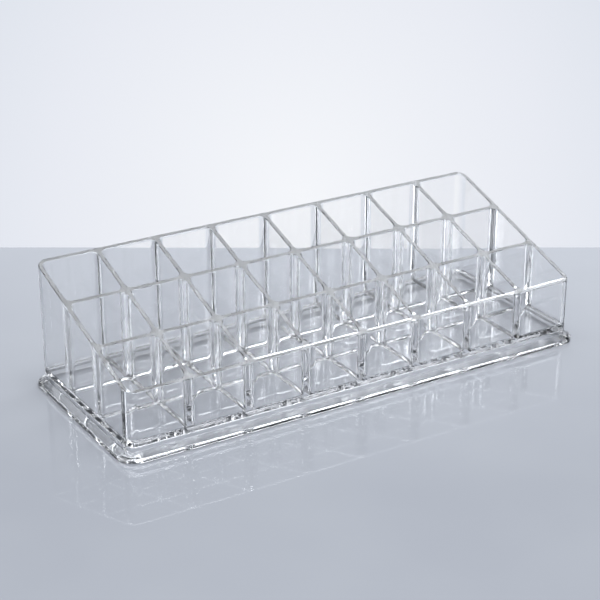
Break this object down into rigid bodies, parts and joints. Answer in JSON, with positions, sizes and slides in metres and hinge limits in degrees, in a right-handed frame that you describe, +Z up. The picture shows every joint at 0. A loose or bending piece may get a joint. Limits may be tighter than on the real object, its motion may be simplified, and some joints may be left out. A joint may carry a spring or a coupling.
{
  "type": "vanity organizer",
  "caption": "Clear plastic vanity organizer with rows of square open-topped lipstick cells under a rim that slopes from a tall back to a low front, on a flared foot.",
  "frame": {"origin": "on the ground under the middle of the foot", "axes": "+X along the length, +Y towards the tall back, +Z up"},
  "size_m": [0.2284, 0.0908, 0.0564],
  "materials": {
    "clear_plastic": "clear, polished, moulded"
  },
  "bodies": {
    "root": {"base_plate": "clear_plastic", "front_wall": "clear_plastic", "back_wall": "clear_plastic", "left_wall": "clear_plastic", "right_wall": "clear_plastic", "long_divider_1": "clear_plastic", "long_divider_2": "clear_plastic", "cross_divider_1": "clear_plastic", "cross_divider_2": "clear_plastic", "cross_divider_3": "clear_plastic", "cross_divider_4": "clear_plastic", "cross_divider_5": "clear_plastic", "cross_divider_6": "clear_plastic", "cross_divider_7": "clear_plastic"}
  },
  "joints": []
}
